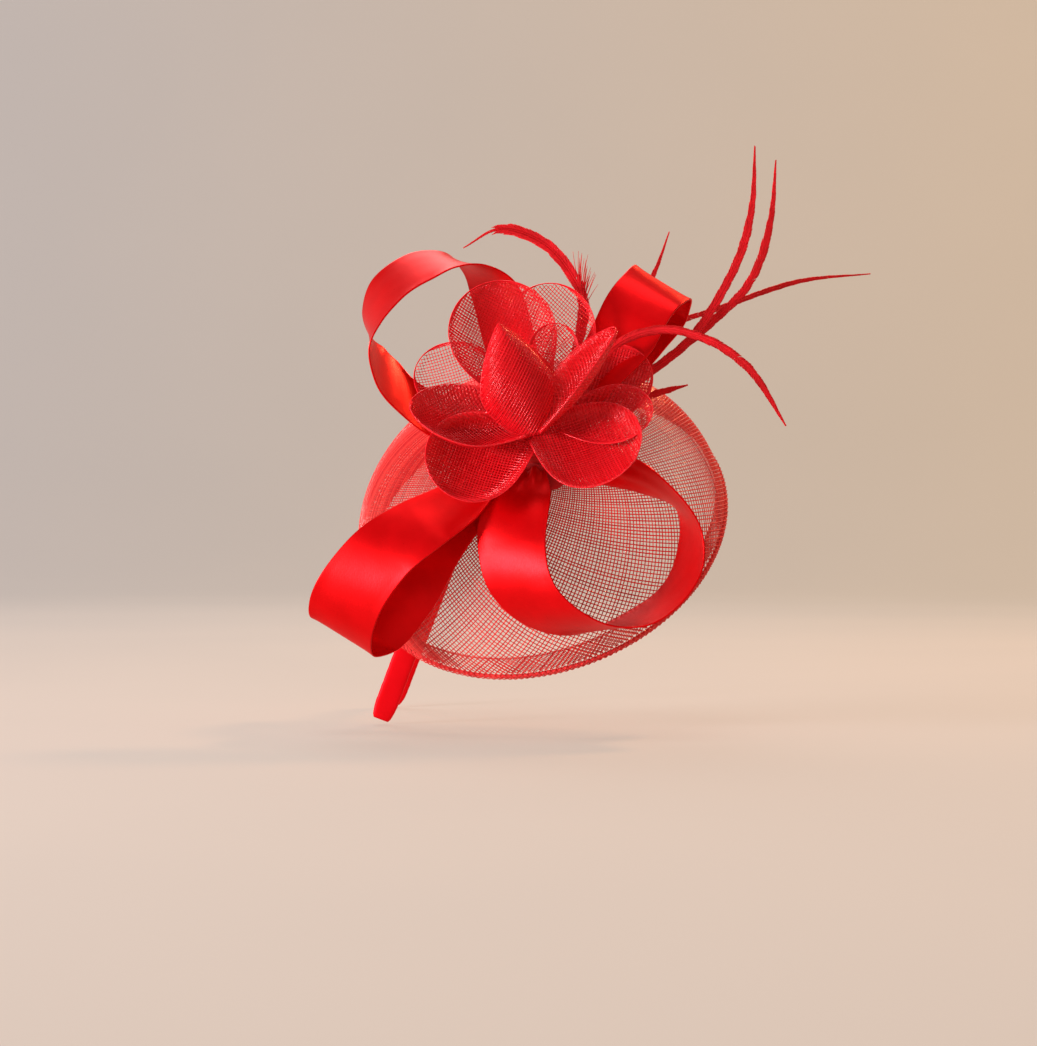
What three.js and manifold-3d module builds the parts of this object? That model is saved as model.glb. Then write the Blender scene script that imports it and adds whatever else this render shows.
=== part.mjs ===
// Fascinator headpiece: a domed net cap on a satin-wrapped alice band, trimmed with four satin
// ribbon loops, a crin flower and a spray of stripped feathers.
// Millimetres. +X is the way the wearer faces, +Y the wearer's left, +Z up.
// The origin is the middle of the band's underside, where it rests on the crown of the head.
import * as THREE from 'three';
import { mergeVertices } from 'three/addons/utils/BufferGeometryUtils.js';
import Module from 'manifold-3d';

const wasm = await Module();
wasm.setup();

// ---------------------------------------------------------------- driving dimensions
const CAP = {
  centre: new THREE.Vector3(21, -35.4, -59.7), // middle of the rim circle
  axis: new THREE.Vector3(-0.26, -0.70, 0.665).normalize(), // from the rim to the crown
  rimRadius: 85,
  depth: 63,
  roundness: 2.2,         // 2 is an ellipse, more is squarer at the shoulder
  netThickness: 1.0,
  lift: 8,                // the cap and trim stand this far up, on the band
  mouth: 0.012,           // the net starts this small turn above the rim
  sides: 44,
  rings: 11,
};
const RIM = { wireRadius: 1.0, wireGap: 0.35, hemStart: 0.6, hemDepth: 9, hemThickness: 0.7, hemLean: 0.9 };
const BAND = {
  lean: THREE.MathUtils.degToRad(20.7),       // the arch leans forward at the top
  coreWidth: 8.6,
  coreThickness: 1.2,
  satinWidth: 10.2,
  satinThickness: 2.8,
  satinWall: 0.45,
  segments: 60,           // facets along the whole band
  rightHingeAt: 5,        // facet joint where the short right tail leaves the cap
  leftHingeAt: 36,        // facet joint where the long left arm leaves the cap
  hingeGap: 0.7,
  coreTuck: 1.2,          // the core ends this far inside the satin's tips
  tipWall: 0.6,           // the satin folded over each tip
  boreOverrun: 6,         // the hollow is cut this far past an open end
};
const RIBBON = { width: 32, rootWidth: 15, thickness: 0.7, across: 5, facets: 36 };
const PETAL = { thickness: 0.6, tipShare: 0.3, cupFrom: 0.1, across: 6, along: 9 };
const FEATHER = { width: 3.4, thickness: 1.2, facets: 14, tipWidth: 0.8 };
const TRIM = {
  base: new THREE.Vector3(17, -91, -28),      // where the trim is sewn through the cap
  axis: new THREE.Vector3(-0.05, -0.81, 0.585).normalize(),
  feltRadius: 21,
  feltThickness: 1.5,
  feltSides: 28,
  liningInset: 4,         // the lining disc is this much smaller
  knotRadius: 7.5,
  knotSides: 16,
  knotRoom: 0.1,          // kept free above and below each knot
};
const GAP = 0.35;         // clearance kept between pieces that touch
const SLIVER = 0.02;      // facets narrower than this are merged away

// ---------------------------------------------------------------- materials
const paint = (color, roughness) => new THREE.MeshStandardMaterial({ color, roughness, metalness: 0 });
const MATERIAL = {
  net: paint(0xb5121b, 0.45),
  satin: paint(0xd30a18, 0.35),
  crin: paint(0xd0131f, 0.4),
  feather: paint(0xb00d18, 0.7),
  felt: paint(0xa50f18, 0.95),
  thread: paint(0xa80d16, 0.8),
  core: paint(0xe8e2d8, 0.4),
  wire: paint(0xb81a20, 0.5),
};

// ---------------------------------------------------------------- solids
// Shares the corners of neighbouring triangles and drops those that have no area.
function weld(geometry) {
  const bare = geometry.clone();
  bare.deleteAttribute('normal');
  bare.deleteAttribute('uv');
  const merged = mergeVertices(bare, 1e-4);
  const corner = merged.index.array;
  const kept = [];
  for (let i = 0; i < corner.length; i += 3) {
    const [a, b, c] = [corner[i], corner[i + 1], corner[i + 2]];
    if (a !== b && b !== c && c !== a) kept.push(a, b, c);
  }
  merged.setIndex(kept);
  return merged;
}

function toSolid(geometry) {
  const welded = weld(geometry);
  const vertProperties = new Float32Array(welded.attributes.position.array);
  const triVerts = new Uint32Array(welded.index.array);
  return new wasm.Manifold(new wasm.Mesh({ numProp: 3, vertProperties, triVerts }));
}

function toGeometry(solid) {
  const mesh = solid.getMesh();
  const geometry = new THREE.BufferGeometry();
  geometry.setAttribute('position', new THREE.BufferAttribute(mesh.vertProperties, 3));
  geometry.setIndex(new THREE.BufferAttribute(mesh.triVerts, 1));
  return geometry;
}

// Of the bodies that a cut leaves, only the largest is part of the piece.
function largestBody(solid) {
  const bodies = solid.decompose();
  return bodies.reduce((best, body) => (body.volume() > best.volume() ? body : best));
}

// A thin solid that follows surface(u, v), with u across from 0 to 1 and v along from 0 to 1.
function sheet(surface, thickness, across, along) {
  const geometry = new THREE.BoxGeometry(1, 1, 1, across, along, 1);
  const position = geometry.attributes.position;
  const step = 0.004;
  for (let i = 0; i < position.count; i += 1) {
    const u = position.getX(i) + 0.5;
    const v = position.getY(i) + 0.5;
    const alongU = surface(Math.min(u + step, 1), v).sub(surface(Math.max(u - step, 0), v));
    const alongV = surface(u, Math.min(v + step, 1)).sub(surface(u, Math.max(v - step, 0)));
    const normal = alongU.cross(alongV).normalize();
    const point = surface(u, v).addScaledVector(normal, position.getZ(i) * thickness);
    position.setXYZ(i, point.x, point.y, point.z);
  }
  return weld(geometry);
}

// A closed ring or dome turned about the cap's own axis (local +Y) from a closed outline.
function turned(outline, sides) {
  return weld(new THREE.LatheGeometry(outline.map(([r, y]) => new THREE.Vector2(r, y)), sides));
}

const root = new THREE.Group();

function addPiece(parent, name, geometry, material) {
  geometry.computeVertexNormals();
  const mesh = new THREE.Mesh(geometry, material);
  mesh.name = name;
  parent.add(mesh);
  return mesh;
}

// ---------------------------------------------------------------- cap
// The cap and its trim ride on the band, whose thickness lifts them off the head.
const capAndTrim = new THREE.Group();
capAndTrim.position.z = CAP.lift;
root.add(capAndTrim);

// The cap's group has +Y along the cap's axis and +X towards the wearer's face.
const cap = new THREE.Group();
const capX = new THREE.Vector3(1, 0, 0).addScaledVector(CAP.axis, -CAP.axis.x).normalize();
const capZ = new THREE.Vector3().crossVectors(capX, CAP.axis);
cap.position.copy(CAP.centre);
cap.quaternion.setFromRotationMatrix(new THREE.Matrix4().makeBasis(capX, CAP.axis, capZ));
capAndTrim.add(cap);
cap.updateMatrix();

// Points up the side of the dome, grown outwards by offset, from the given start angle.
function domeSide(offset, startAngle) {
  const points = [];
  for (let i = 0; i <= CAP.rings; i += 1) {
    const angle = startAngle + (Math.PI / 2 - startAngle) * (i / CAP.rings);
    const r = (CAP.rimRadius + offset) * Math.cos(angle) ** (2 / CAP.roundness);
    const y = (CAP.depth + offset) * Math.sin(angle) ** (2 / CAP.roundness);
    points.push([i === CAP.rings ? 0 : r, y]);
  }
  return points;
}

// The layer between two offsets of the dome, open below.
function domeLayer(outer, inner, startAngle = 0) {
  const outside = domeSide(outer, startAngle);
  const inside = domeSide(inner, startAngle).reverse();
  const outline = [...outside, ...inside];
  return turned([...outline, outline[0]], CAP.sides);
}

addPiece(cap, 'crown_net', domeLayer(0, -CAP.netThickness, CAP.mouth), MATERIAL.net);

const wireCentre = CAP.rimRadius - CAP.netThickness / 2;
const wireDrop = -RIM.wireRadius - RIM.wireGap;
const wireSides = 6;
const wireSection = [];
for (let i = 0; i <= wireSides; i += 1) {
  const angle = ((i % wireSides) / wireSides - 0.25) * 2 * Math.PI;
  const r = wireCentre + RIM.wireRadius * Math.cos(angle);
  wireSection.push([r, wireDrop + RIM.wireRadius * Math.sin(angle)]);
}
addPiece(cap, 'rim_wire', turned(wireSection, CAP.sides), MATERIAL.wire);

// The net is turned in over the wire: a hem that stands against the inside of the cap.
const hemOutside = CAP.rimRadius - CAP.netThickness - GAP;
const hemInside = hemOutside - RIM.hemThickness;
addPiece(cap, 'rim_hem', turned([
  [hemOutside, RIM.hemStart],
  [hemOutside - RIM.hemLean, RIM.hemDepth],
  [hemInside - RIM.hemLean, RIM.hemDepth],
  [hemInside, RIM.hemStart],
  [hemOutside, RIM.hemStart],
], CAP.sides), MATERIAL.net);

// The felt disc under the flower is cut from a layer that follows the dome.
function feltDisc(outer, inner, radius) {
  const local = TRIM.base.clone().applyMatrix4(cap.matrix.clone().invert());
  const post = new THREE.CylinderGeometry(radius, radius, CAP.depth, TRIM.feltSides);
  post.translate(local.x, local.y, local.z);
  return largestBody(toSolid(domeLayer(outer, inner)).intersect(toSolid(post)));
}
const feltTop = GAP + TRIM.feltThickness;
addPiece(cap, 'trim_felt_disc', toGeometry(feltDisc(feltTop, GAP, TRIM.feltRadius)), MATERIAL.felt);
const liningTop = -CAP.netThickness - GAP;
const liningDisc = feltDisc(liningTop, liningTop - TRIM.feltThickness, TRIM.feltRadius - TRIM.liningInset);
addPiece(cap, 'trim_lining_disc', toGeometry(liningDisc), MATERIAL.felt);

// ---------------------------------------------------------------- alice band
// The arch lies in the plane of +Y and the leaning up direction. Points are the underside's
// distance from the middle plane and its height below the crown.
const ARCH_SIDE = [[18, -3.4], [34, -13.3], [48, -27.5], [57.5, -46], [61, -70], [57.5, -93], [50.5, -114],
  [48, -132], [47.5, -147]];
const archPoints = [
  ...ARCH_SIDE.map(([y, h]) => new THREE.Vector3(0, -y, h)).reverse(),
  new THREE.Vector3(0, 0, 0),
  ...ARCH_SIDE.map(([y, h]) => new THREE.Vector3(0, y, h)),
];
const arch = new THREE.CatmullRomCurve3(archPoints, false, 'centripetal');
arch.arcLengthDivisions = 2000;
const band = new THREE.Group();
band.rotation.y = BAND.lean;
root.add(band);
band.updateMatrixWorld(true);

const archLength = arch.getLength();

// Facet joints between two places on the band. Each facet but the end ones is one segment long,
// the crown is in the middle of one, and none is shorter than a small share of the band.
function stations(from, to) {
  const list = [from];
  const shortest = 0.004;
  for (let i = 0; i < BAND.segments; i += 1) {
    const at = (i + 0.5) / BAND.segments;
    if (at > from + shortest && at < to - shortest) list.push(at);
  }
  list.push(to);
  return list;
}

// A bar of rectangular section along the band, its underside raised above the head by lift.
function bandBar(from, to, width, thickness, lift) {
  const stops = stations(from, to);
  const geometry = new THREE.BoxGeometry(1, 1, 1, 1, stops.length - 1, 1);
  const position = geometry.attributes.position;
  for (let i = 0; i < position.count; i += 1) {
    const stop = stops[Math.round((position.getY(i) + 0.5) * (stops.length - 1))];
    const under = arch.getPointAt(stop);
    const tangent = arch.getTangentAt(stop);
    const outward = new THREE.Vector3(0, -tangent.z, tangent.y);
    const height = lift + (position.getZ(i) + 0.5) * thickness;
    under.addScaledVector(outward, height);
    position.setXYZ(i, position.getX(i) * width, under.y, under.z);
  }
  return toSolid(geometry);
}

const hingeGap = BAND.hingeGap / archLength / 2;
const rightHinge = BAND.rightHingeAt / BAND.segments;
const leftHinge = BAND.leftHingeAt / BAND.segments;
const coreLift = (BAND.satinThickness - BAND.coreThickness) / 2;
const spans = {
  right: [0, rightHinge - hingeGap],
  middle: [rightHinge + hingeGap, leftHinge - hingeGap],
  left: [leftHinge + hingeGap, 1],
};
for (const [name, [from, to]] of Object.entries(spans)) {
  const tuck = BAND.coreTuck / archLength;
  const coreFrom = name === 'right' ? from + tuck : from;
  const coreTo = name === 'left' ? to - tuck : to;
  const core = bandBar(coreFrom, coreTo, BAND.coreWidth, BAND.coreThickness, coreLift);
  addPiece(band, `band_core_${name}`, toGeometry(core), MATERIAL.core);
  const cover = bandBar(from, to, BAND.satinWidth, BAND.satinThickness, 0);
  const past = BAND.boreOverrun / archLength;
  const tipWall = BAND.tipWall / archLength;
  const boreFrom = name === 'right' ? tipWall : from - past;
  const boreTo = name === 'left' ? 1 - tipWall : to + past;
  const boreWidth = BAND.satinWidth - 2 * BAND.satinWall;
  const boreThickness = BAND.satinThickness - 2 * BAND.satinWall;
  const bore = bandBar(boreFrom, boreTo, boreWidth, boreThickness, BAND.satinWall);
  addPiece(band, `band_satin_${name}`, toGeometry(cover.subtract(bore)), MATERIAL.satin);
}

// ---------------------------------------------------------------- ribbon loops
// Each row is a point of the ribbon's middle line, the direction across it, and its width.
const W = RIBBON.width;
const G = RIBBON.rootWidth;
const LOOPS = {
  ribbon_loop_lower_right: [
    [14, -101, -34, 0.99, -0.05, 0.11, G],
    [10, -112, -46, 0.99, -0.05, 0.11, W - 4],
    [7, -121, -65, 0.89, -0.45, 0.07, W],
    [11, -125, -83, 0.82, -0.55, 0.15, W],
    [23, -126, -96, 0.64, -0.72, 0.25, W],
    [44, -123, -102, 0.53, -0.84, 0.13, W],
    [68, -119, -93, 0.21, -0.96, -0.17, W],
    [82, -114, -75, 0.29, -0.95, -0.09, W],
    [82, -111, -55, 0.20, -0.97, -0.14, W],
    [66, -114, -41, 0.30, -0.93, 0.19, W - 4],
    [49, -112, -34, 0.50, -0.70, 0.50, W - 8],
    [30, -104, -27, 0.50, -0.50, 0.70, G],
  ],
  ribbon_loop_lower_left: [
    [3, -101, -31, 0.54, -0.67, -0.50, G],
    [-15, -108, -48, 0.54, -0.67, -0.50, W - 4],
    [-32, -114, -58, 0.55, -0.61, -0.57, W],
    [-48, -115, -70, 0.75, -0.43, -0.50, W],
    [-60, -112, -85, 0.83, -0.33, -0.45, W],
    [-66, -105, -99, 0.84, -0.20, -0.50, W],
    [-65, -96, -106, 0.85, -0.05, -0.52, W],
    [-56, -90, -104, 0.86, -0.05, -0.50, W],
    [-42, -92, -88, 0.87, -0.10, -0.49, W],
    [-23, -104, -63, 0.74, -0.52, -0.42, W - 4],
    [2, -105, -40, 0.74, -0.52, -0.42, G],
  ],
  ribbon_loop_upper_left: [
    [4, -95, -20, 0.20, -0.56, -0.81, G],
    [-32, -86, -7, 0.20, -0.56, -0.81, W - 2],
    [-43, -85, 3, 0.02, -0.72, -0.69, W],
    [-50, -86, 11, -0.06, -0.84, -0.53, W],
    [-54, -87, 20, 0.02, -0.97, -0.26, W],
    [-54, -88, 32, 0.29, -0.92, -0.25, W],
    [-47, -89, 44, 0.41, -0.84, -0.37, W],
    [-33, -90, 54, 0.32, -0.84, -0.44, W],
    [-19, -88, 57, 0.22, -0.93, -0.29, W],
    [-9, -84, 54, 0.33, -0.94, -0.02, W],
    [-1, -80, 45, 0.64, -0.77, 0.06, W],
    [6, -78, 23, 0.82, -0.57, -0.04, W - 4],
    [11, -90, -14, 0.95, -0.30, -0.04, G],
  ],
  ribbon_loop_upper_right: [
    [29, -98, -17, 0.60, -0.70, -0.39, G],
    [40, -95, 2, 0.60, -0.70, -0.39, W - 6],
    [54, -94, 21, 0.81, -0.50, -0.31, W],
    [61, -92, 35, 0.82, -0.46, -0.34, W],
    [68, -88, 44, 0.78, -0.47, -0.43, W],
    [73, -80, 48, 0.75, -0.42, -0.51, W],
    [74, -72, 45, 0.69, -0.43, -0.59, W],
    [69, -67, 35, 0.78, -0.43, -0.45, W],
    [60, -68, 23, 0.74, -0.53, -0.42, W],
    [47, -76, 4, 0.63, -0.58, -0.51, W - 8],
    [31, -91, -14, 0.63, -0.58, -0.51, G],
  ],
};

// Smooth curves through the columns of a table of rows.
function curvesThrough(rows) {
  const middle = new THREE.CatmullRomCurve3(rows.map((row) => new THREE.Vector3(row[0], row[1], row[2])));
  const across = new THREE.CatmullRomCurve3(rows.map((row) => new THREE.Vector3(row[3], row[4], row[5])));
  const width = new THREE.CatmullRomCurve3(rows.map((row) => new THREE.Vector3(row[6], 0, 0)));
  return { middle, across, width };
}

function ribbonSurface(rows) {
  const { middle, across, width } = curvesThrough(rows);
  return (u, v) => {
    const side = across.getPoint(v).normalize();
    return middle.getPoint(v).addScaledVector(side, (u - 0.5) * width.getPoint(v).x);
  };
}

function ribbonSolid(rows, extra) {
  const surface = ribbonSurface(rows.map((row) => [...row.slice(0, 6), row[6] + extra]));
  return toSolid(sheet(surface, RIBBON.thickness + extra, RIBBON.across, RIBBON.facets));
}

// ---------------------------------------------------------------- flower
// Each petal has its base, its tip, the way it faces, its width, and then: bow, by which its
// middle lies back, cup, by which its edges come forward, and point, 0 for a round end and 1 for
// a leaf's.
const PETALS = {
  petal_bud: [[17.5, -115, -20], [2, -119, 27], [-0.3, 0.8, 0.5], 34, 5, 7, 0.9],
  petal_top_left: [[14, -106, -5], [-5, -99, 45], [0.1, -1, 0.1], 46, 7, 8, 0],
  petal_top_right: [[24, -102, -4], [23, -91, 46], [-0.1, -1, 0.1], 40, 7, 7, 0],
  petal_small_back: [[22, -108, -3], [27, -103, 28], [0, -1, 0.2], 22, 3, 3, 0],
  petal_left_back: [[9, -104, -8], [-33, -93, 12], [0, -1, 0.3], 34, 4, 5, 0],
  petal_left_front: [[13, -114, -18], [-36, -121, -9], [0.1, -0.8, 0.7], 36, 7, 8, 0.3],
  petal_bottom_left: [[15, -112, -19], [-27, -124, -38], [0.1, -0.9, 0.3], 40, 6, 6, 0],
  petal_bottom_right: [[18, -113, -18], [59, -131, -31], [0, -0.8, 0.5], 46, 6, 6, 0],
  petal_right_lower: [[27, -109, -15], [67, -116, -10], [0, -0.8, 0.6], 32, 5, 5, 0],
  petal_right_upper: [[27, -105, -8], [66, -101, 11], [0, -1, 0.2], 32, 5, 5, 0],
  petal_diagonal: [[19, -116, -19], [52, -120, 24], [-0.5, -0.6, 0.5], 19, 3, 7, 0.35],
};
const ROUND_PETAL = { root: 0.32, widestAt: 0.58 };
const LEAF_PETAL = { root: 0.35, widestAt: 0.42, taper: 1.4 };

// A petal's half width, as a share of its widest, at a share v of its length.
function petalOutline(v, point) {
  const rise = (root, widestAt) => root + (1 - root) * Math.sin(Math.min(v / widestAt, 1) * Math.PI / 2);
  const past = (widestAt) => Math.max(v - widestAt, 0) / (1 - widestAt);
  const round = rise(ROUND_PETAL.root, ROUND_PETAL.widestAt) * Math.sqrt(1 - past(ROUND_PETAL.widestAt) ** 2);
  const leaf = rise(LEAF_PETAL.root, LEAF_PETAL.widestAt)
    * (1 - past(LEAF_PETAL.widestAt) ** LEAF_PETAL.taper);
  return Math.max(THREE.MathUtils.lerp(round, leaf, point), PETAL.tipShare);
}

function petalSurface([base, tip, facing, width, bow, cup, point]) {
  const foot = new THREE.Vector3(...base);
  const run = new THREE.Vector3(...tip).sub(foot);
  const ahead = run.clone().normalize();
  const face = new THREE.Vector3(...facing);
  face.addScaledVector(ahead, -face.dot(ahead)).normalize();
  const side = new THREE.Vector3().crossVectors(ahead, face);
  return (u, v) => {
    const s = 2 * u - 1;
    const cupping = Math.sin(Math.PI * THREE.MathUtils.lerp(PETAL.cupFrom, 1 - PETAL.cupFrom, v));
    const lift = cup * s * s * cupping - bow * Math.sin(Math.PI * v);
    return foot.clone()
      .addScaledVector(run, v)
      .addScaledVector(side, s * (width / 2) * petalOutline(v, point))
      .addScaledVector(face, lift);
  };
}

// A petal grown by extra in its width and thickness, and by half of it past each end.
function petalSolid([base, tip, facing, width, ...shape], extra) {
  const foot = new THREE.Vector3(...base);
  const run = new THREE.Vector3(...tip).sub(foot);
  const stretch = extra / 2 / run.length();
  const longBase = foot.clone().addScaledVector(run, -stretch).toArray();
  const longTip = foot.clone().addScaledVector(run, 1 + stretch).toArray();
  const surface = petalSurface([longBase, longTip, facing, width + extra, ...shape]);
  return toSolid(sheet(surface, PETAL.thickness + extra, PETAL.across, PETAL.along));
}

// ---------------------------------------------------------------- feathers
// Points along each feather's quill, from where it is sewn in to its tip.
const FEATHERS = {
  feather_tall_front: [[38, -97, -10], [65, -95, 7], [84, -92, 22], [100, -88, 46], [108, -86, 64],
    [112, -85, 83], [113, -85, 107]],
  feather_tall_back: [[38, -90, -13], [67, -88, 8], [96, -84, 32], [109, -81, 45], [116, -79, 58],
    [121, -78, 78], [123, -77, 102]],
  feather_drooping: [[36, -105, -1], [52, -108, 19], [72, -111, 25], [91, -114, 20], [102, -115, 13],
    [110, -116, 5], [123, -115, -16]],
  feather_left: [[30, -93, -1], [38, -90, 31], [38, -89, 40], [35, -88, 48], [22, -86, 64], [2, -84, 71],
    [-14, -82, 63]],
  feather_far_short: [[34, -82, -10], [55, -60, 25], [72, -42, 57], [79, -35, 76]],
  feather_far_long: [[40, -80, -8], [76, -50, 30], [102, -35, 41], [142, -10, 56], [177, 5, 61]],
  feather_stub: [[43, -84, -12], [68, -74, -1], [85, -68, 4]],
};
const QUILL_TAPER = { root: 0.45, rise: 2.2, fall: 3.2 };

function featherSolid(points, extra) {
  const middle = new THREE.CatmullRomCurve3(points.map((point) => new THREE.Vector3(...point)));
  const surface = (u, v) => {
    const tangent = middle.getTangent(v);
    const side = new THREE.Vector3().crossVectors(tangent, new THREE.Vector3(0, -1, 0)).normalize();
    const taper = Math.min(1, QUILL_TAPER.root + QUILL_TAPER.rise * v, QUILL_TAPER.fall * (1 - v));
    const width = Math.max(FEATHER.width * taper, FEATHER.tipWidth) + extra;
    return middle.getPoint(v).addScaledVector(side, (u - 0.5) * width);
  };
  return toSolid(sheet(surface, FEATHER.thickness + extra, 1, FEATHER.facets));
}

// ---------------------------------------------------------------- trim assembly
// A round collar about the trim's axis, between two heights above the cap.
function collar(low, high, radius) {
  const geometry = new THREE.CylinderGeometry(radius, radius, high - low, TRIM.knotSides);
  geometry.translate(0, (low + high) / 2, 0);
  const turn = new THREE.Quaternion().setFromUnitVectors(new THREE.Vector3(0, 1, 0), TRIM.axis);
  geometry.applyQuaternion(turn);
  geometry.translate(TRIM.base.x, TRIM.base.y, TRIM.base.z);
  return toSolid(geometry);
}
const KNOTS = {
  ribbon_gather: [3.5, 11, TRIM.knotRadius],
  flower_gather: [11.6, 17, TRIM.knotRadius - 2],
};

// The trim is laid up from the cap outwards: each piece is cut back from those already laid.
const feltRoom = toGeometry(feltDisc(feltTop + GAP, -GAP, TRIM.feltRadius + GAP));
const laid = [toSolid(feltRoom.applyMatrix4(cap.matrix))];
function lay(name, piece, clearance, material) {
  const cut = laid.reduce((rest, other) => rest.subtract(other), piece);
  addPiece(capAndTrim, name, toGeometry(largestBody(cut).simplify(SLIVER)), material);
  laid.push(clearance);
}

for (const [name, [low, high, radius]] of Object.entries(KNOTS)) {
  const room = collar(low - TRIM.knotRoom, high + TRIM.knotRoom, radius + GAP);
  lay(name, collar(low, high, radius), room, MATERIAL.thread);
}
for (const [name, rows] of Object.entries(LOOPS)) {
  lay(name, ribbonSolid(rows, 0), ribbonSolid(rows, 2 * GAP), MATERIAL.satin);
}
for (const [name, petal] of Object.entries(PETALS)) {
  lay(name, petalSolid(petal, 0), petalSolid(petal, 4 * GAP), MATERIAL.crin);
}
for (const [name, points] of Object.entries(FEATHERS)) {
  lay(name, featherSolid(points, 0), featherSolid(points, 2 * GAP), MATERIAL.feather);
}

export default root;
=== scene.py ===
# The looks of the fascinator headpiece: a domed net cap on a satin-covered alice band, with four satin
# ribbon loops, a net flower and a spray of slim feathers. Sizes in the tables are millimetres.
import math

import bpy
import numpy as np
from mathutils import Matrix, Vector


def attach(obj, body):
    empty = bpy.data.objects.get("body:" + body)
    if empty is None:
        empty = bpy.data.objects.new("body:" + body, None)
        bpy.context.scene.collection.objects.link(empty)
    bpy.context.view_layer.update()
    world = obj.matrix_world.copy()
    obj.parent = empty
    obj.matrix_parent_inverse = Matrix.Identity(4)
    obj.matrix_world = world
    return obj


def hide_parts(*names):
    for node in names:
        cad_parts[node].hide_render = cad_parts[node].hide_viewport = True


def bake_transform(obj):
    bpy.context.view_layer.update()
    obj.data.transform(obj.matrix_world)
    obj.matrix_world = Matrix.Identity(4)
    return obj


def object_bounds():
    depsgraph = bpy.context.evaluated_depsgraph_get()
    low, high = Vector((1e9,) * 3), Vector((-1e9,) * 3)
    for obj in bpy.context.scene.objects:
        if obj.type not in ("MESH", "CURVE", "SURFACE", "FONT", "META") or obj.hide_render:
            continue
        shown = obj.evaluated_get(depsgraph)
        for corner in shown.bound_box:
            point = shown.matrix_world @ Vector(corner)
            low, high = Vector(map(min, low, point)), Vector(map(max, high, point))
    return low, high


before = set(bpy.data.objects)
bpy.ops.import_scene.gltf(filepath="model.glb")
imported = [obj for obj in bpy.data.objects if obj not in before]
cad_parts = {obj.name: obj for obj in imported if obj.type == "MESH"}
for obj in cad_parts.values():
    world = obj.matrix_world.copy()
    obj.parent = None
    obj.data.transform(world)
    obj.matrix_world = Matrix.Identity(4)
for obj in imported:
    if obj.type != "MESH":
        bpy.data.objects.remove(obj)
cad_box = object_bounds()
MM = 0.001
draw = np.random.default_rng(7)

# ------------------------------------------------------------------ driving sizes, as in the CAD model
LIFT = 8.0                      # the cap and trim stand this far above the band's rest point
CAP_CENTRE = np.array([21.0, -35.4, -59.7 + LIFT])
CAP_AXIS = np.array([-0.26, -0.70, 0.665])
CAP_AXIS /= np.linalg.norm(CAP_AXIS)
RIM_RADIUS, CAP_DEPTH, ROUNDNESS = 85.0, 63.0, 2.2
WIRE_RADIUS, WIRE_GAP, NET_THICKNESS, HEM_DEPTH = 1.0, 0.35, 1.0, 9.0
TRIM_BASE = np.array([17.0, -91.0, -28.0 + LIFT])
TRIM_AXIS = np.array([-0.05, -0.81, 0.585])
TRIM_AXIS /= np.linalg.norm(TRIM_AXIS)
FELT_RADIUS, FELT_THICKNESS = 21.0, 1.5
BAND_LEAN = math.radians(20.7)
SATIN_WIDTH, SATIN_THICKNESS = 10.2, 2.8
CORE_WIDTH, CORE_THICKNESS = 8.6, 1.2
ARCH_SIDE = [(18, -3.4), (34, -13.3), (48, -27.5), (57.5, -46), (61, -70), (57.5, -93), (50.5, -114),
             (48, -132), (47.5, -147)]
CAMERA_PLACE = (0.0101, -1.1, -0.0491)        # metres
LENS, SENSOR = 80.26, 36.0


# ------------------------------------------------------------------ numbers
def unit(v):
    v = np.asarray(v, float)
    return v / np.maximum(np.linalg.norm(v, axis=-1, keepdims=True), 1e-12)


def smooth_step(x):
    x = np.clip(x, 0, 1)
    return x * x * (3 - 2 * x)


def smooth_curve(points, t):
    """The centripetal Catmull-Rom curve through the points, which the CAD's trim follows too."""
    p = np.asarray(points, float)
    run = np.vstack([2 * p[0] - p[1], p, 2 * p[-1] - p[-2]])
    at = np.clip(np.asarray(t, float), 0, 1) * (len(p) - 1)
    i = np.minimum(at.astype(int), len(p) - 2)
    w = (at - i)[:, None]
    x0, x1, x2, x3 = (run[i + k] for k in range(4))
    knot = [np.sum((b - a) ** 2, axis=1, keepdims=True) ** 0.25 for a, b in ((x0, x1), (x1, x2), (x2, x3))]
    d1 = np.where(knot[1] < 1e-4, 1.0, knot[1])
    d0 = np.where(knot[0] < 1e-4, d1, knot[0])
    d2 = np.where(knot[2] < 1e-4, d1, knot[2])
    out = ((x1 - x0) / d0 - (x2 - x0) / (d0 + d1) + (x2 - x1) / d1) * d1
    into = ((x2 - x1) / d1 - (x3 - x1) / (d1 + d2) + (x3 - x2) / d2) * d1
    square = -3 * x1 + 3 * x2 - 2 * out - into
    cube = 2 * x1 - 2 * x2 + out + into
    return x1 + out * w + square * w ** 2 + cube * w ** 3


def resample(line, count):
    """count points at even steps along a line of points."""
    line = np.asarray(line, float)
    along = np.concatenate([[0], np.cumsum(np.linalg.norm(np.diff(line, axis=0), axis=1))])
    at = np.linspace(0, along[-1], count)
    return np.stack([np.interp(at, along, line[:, k]) for k in range(line.shape[1])], axis=1)


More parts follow.
